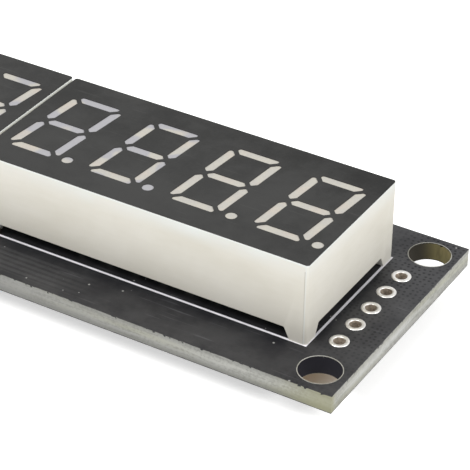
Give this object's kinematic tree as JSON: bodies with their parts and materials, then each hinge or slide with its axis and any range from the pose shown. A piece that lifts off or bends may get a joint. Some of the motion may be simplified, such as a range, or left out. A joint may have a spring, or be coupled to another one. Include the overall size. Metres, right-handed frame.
{
  "type": "seven-segment display module",
  "caption": "Circuit board that carries seven-segment digit displays in dark-faced pale housings, with header holes at both ends and mounting holes in the corners.",
  "frame": {"origin": "under the middle of the circuit board's outline, level with the tips of the display pins that the module rests on", "axes": "+X along the row of digits towards the input header, +Y towards the top of the digits, +Z out of the displays' faces"},
  "size_m": [0.0698, 0.0228, 0.0109],
  "materials": {
    "board": "dark masked glass laminate, pale at the cut edges",
    "housing": "satin moulded off-white plastic",
    "dark_face": "matte dark grey print",
    "cloudy_resin": "cloudy cast resin",
    "substrate": "thin laminate",
    "light_chip": "semiconductor chip",
    "potting": "cloudy cast resin",
    "tinned_metal": "tin plated",
    "solder": "bright tin solder",
    "black_moulding": "black moulded epoxy",
    "resistor": "black glazed top on white ceramic",
    "capacitor": "tan ceramic"
  },
  "bodies": {
    "root": {"capacitor_bodies": "capacitor", "capacitor_terminals": "tinned_metal", "circuit_board": "board", "display_1_digit_1_segments": "cloudy_resin", "display_1_digit_2_segments": "cloudy_resin", "display_1_digit_3_segments": "cloudy_resin", "display_1_digit_4_segments": "cloudy_resin", "display_1_face": "dark_face", "display_1_housing": "housing", "display_1_light_chips": "light_chip", "display_1_pins": "tinned_metal", "display_1_potting": "potting", "display_1_solder": "solder", "display_1_substrate": "substrate", "display_2_digit_1_segments": "cloudy_resin", "display_2_digit_2_segments": "cloudy_resin", "display_2_digit_3_segments": "cloudy_resin", "display_2_digit_4_segments": "cloudy_resin", "display_2_face": "dark_face", "display_2_housing": "housing", "display_2_light_chips": "light_chip", "display_2_pins": "tinned_metal", "display_2_potting": "potting", "display_2_solder": "solder", "display_2_substrate": "substrate", "input_header_pads": "solder", "output_header_pads": "solder", "register_1_body": "black_moulding", "register_1_leads": "tinned_metal", "register_2_body": "black_moulding", "register_2_leads": "tinned_metal", "resistor_bodies": "resistor", "resistor_terminals": "tinned_metal", "surface_pads": "solder"}
  },
  "joints": []
}
